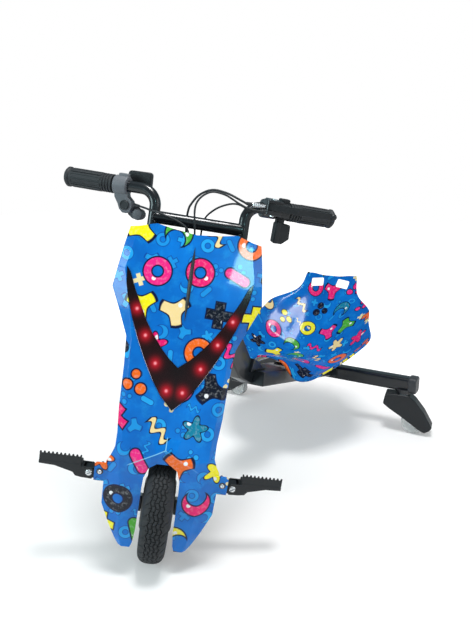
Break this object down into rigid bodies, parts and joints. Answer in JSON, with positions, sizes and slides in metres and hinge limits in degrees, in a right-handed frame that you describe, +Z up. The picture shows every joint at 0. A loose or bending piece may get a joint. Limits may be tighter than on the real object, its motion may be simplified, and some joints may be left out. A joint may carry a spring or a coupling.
{
  "type": "electric drift kart",
  "caption": "Electric drift kart: a steered, driven front wheel under a moulded fairing, a bucket seat on a steel spine, and swivel casters under a rear cross beam.",
  "frame": {"origin": "middle of the kart's footprint box, on the ground, with the handlebar turned left as at rest", "axes": "+Z up, -Y is the kart's front, +X is the rider's left"},
  "size_m": [0.6994, 1.0191, 0.743],
  "materials": {
    "black_steel": "satin black powder coat",
    "zinc_steel": "zinc plated",
    "black_plastic": "fine grain",
    "black_rubber": "matt",
    "tyre": "matt, treaded",
    "printed_shell": null,
    "clear_urethane": "milky, semi-clear",
    "smoked_lens": "smoked gloss",
    "lamp_red": "red lamps on their board",
    "motor_grey": "dark grey, cast",
    "aluminium": "satin",
    "battery_blue": "shrink wrap"
  },
  "bodies": {
    "kart": {"main_frame": "black_steel", "rear_beam": "black_steel", "seat": "printed_shell", "seat_bar_front": "black_steel", "seat_bar_rear": "black_steel", "beam_end_cap_right": "black_plastic", "beam_end_cap_left": "black_plastic"},
    "steering": {"front_fork": "black_steel", "front_axle": "zinc_steel", "axle_nut_right": "zinc_steel", "axle_nut_left": "zinc_steel", "lower_bearing": "zinc_steel", "upper_bearing": "zinc_steel", "headset_nut": "black_steel", "front_fairing": "printed_shell", "lamp_lens": "smoked_lens", "lamp_board": "lamp_red", "centre_trim": "black_plastic", "rear_cover": "black_plastic", "charge_socket": "black_plastic", "motor_controller": "aluminium", "battery_pack": "battery_blue", "handlebar": "black_steel", "stem_clamp": "black_steel", "throttle_housing": "black_plastic", "display_box": "black_plastic", "brake_perch": "black_steel", "barrel_adjuster": "zinc_steel", "brake_lever_pin": "zinc_steel", "switch_pod": "black_plastic", "grip_right": "black_rubber", "grip_left": "black_rubber", "peg_bracket_right": "black_steel", "peg_bracket_left": "black_steel", "peg_screw_right": "zinc_steel", "peg_screw_left": "zinc_steel", "throttle_cable": "black_rubber", "brake_cable": "black_rubber", "signal_wire": "black_rubber", "brake_switch_wire": "black_rubber"},
    "front_wheel": {"hub_motor": "motor_grey", "front_tyre": "tyre"},
    "right_caster": {"caster_fork_right": "zinc_steel", "caster_cover_right": "black_plastic", "caster_axle_right": "zinc_steel"},
    "right_caster_wheel": {"caster_wheel_right": "clear_urethane", "caster_hub_right": "black_plastic"},
    "left_caster": {"caster_fork_left": "zinc_steel", "caster_cover_left": "black_plastic", "caster_axle_left": "zinc_steel"},
    "left_caster_wheel": {"caster_wheel_left": "clear_urethane", "caster_hub_left": "black_plastic"},
    "right_peg": {"foot_peg_right": "black_plastic"},
    "left_peg": {"foot_peg_left": "black_plastic"},
    "brake": {"brake_lever": "black_plastic"},
    "throttle": {"throttle_lever": "black_plastic"},
    "rocker": {"switch_rocker": "black_plastic"},
    "charge_flap": {"charge_cap": "black_rubber"}
  },
  "joints": [
    {"name": "steering", "type": "hinge", "parent": "kart", "child": "steering", "pos_m": [0, -0.31721, 0.32475], "axis": [0, 0.2756, 0.9613], "range_deg": [-84.5, 15.5]},
    {"name": "front_wheel_spin", "type": "hinge", "parent": "steering", "child": "front_wheel", "pos_m": [0, -0.3795, 0.1075], "axis": [0.8241, 0.5445, -0.1561], "continuous": true},
    {"name": "right_caster_swivel", "type": "hinge", "parent": "kart", "child": "right_caster", "pos_m": [-0.262, 0.4325, 0.144], "axis": [0, 0, 1], "continuous": true},
    {"name": "right_caster_spin", "type": "hinge", "parent": "right_caster", "child": "right_caster_wheel", "pos_m": [-0.29558, 0.43782, 0.035], "axis": [0.1564, 0.9877, 0], "continuous": true},
    {"name": "left_caster_swivel", "type": "hinge", "parent": "kart", "child": "left_caster", "pos_m": [0.262, 0.4325, 0.144], "axis": [0, 0, 1], "continuous": true},
    {"name": "left_caster_spin", "type": "hinge", "parent": "left_caster", "child": "left_caster_wheel", "pos_m": [0.29558, 0.43782, 0.035], "axis": [0.1564, -0.9877, 0], "continuous": true},
    {"name": "right_peg_fold", "type": "hinge", "parent": "steering", "child": "right_peg", "pos_m": [-0.10427, -0.44922, 0.18506], "axis": [-0.5445, 0.8375, 0.0466], "range_deg": [0, 65]},
    {"name": "left_peg_fold", "type": "hinge", "parent": "steering", "child": "left_peg", "pos_m": [0.11989, -0.30112, 0.1426], "axis": [0.5445, -0.8375, -0.0466], "range_deg": [0, 65]},
    {"name": "brake_pull", "type": "hinge", "parent": "steering", "child": "brake", "pos_m": [0.11756, -0.14333, 0.65844], "axis": [0.1705, 0.0649, 0.9832], "range_deg": [0, 7], "stiffness_Nm_per_rad": 1, "springref_deg": -5.73},
    {"name": "throttle_push", "type": "hinge", "parent": "steering", "child": "throttle", "pos_m": [-0.14039, -0.2739, 0.66825], "axis": [-0.2595, 0.9657, -0.0045], "range_deg": [0, 25], "stiffness_Nm_per_rad": 0.05, "springref_deg": -17.19},
    {"name": "rocker_tilt", "type": "hinge", "parent": "steering", "child": "rocker", "pos_m": [0.10815, -0.09305, 0.61302], "axis": [0.6088, 0.7777, -0.1569], "range_deg": [0, 12]},
    {"name": "charge_flap", "type": "hinge", "parent": "steering", "child": "charge_flap", "pos_m": [-0.03369, -0.21195, 0.51399], "axis": [-0.8241, -0.5445, 0.1561], "range_deg": [0, 100]}
  ]
}
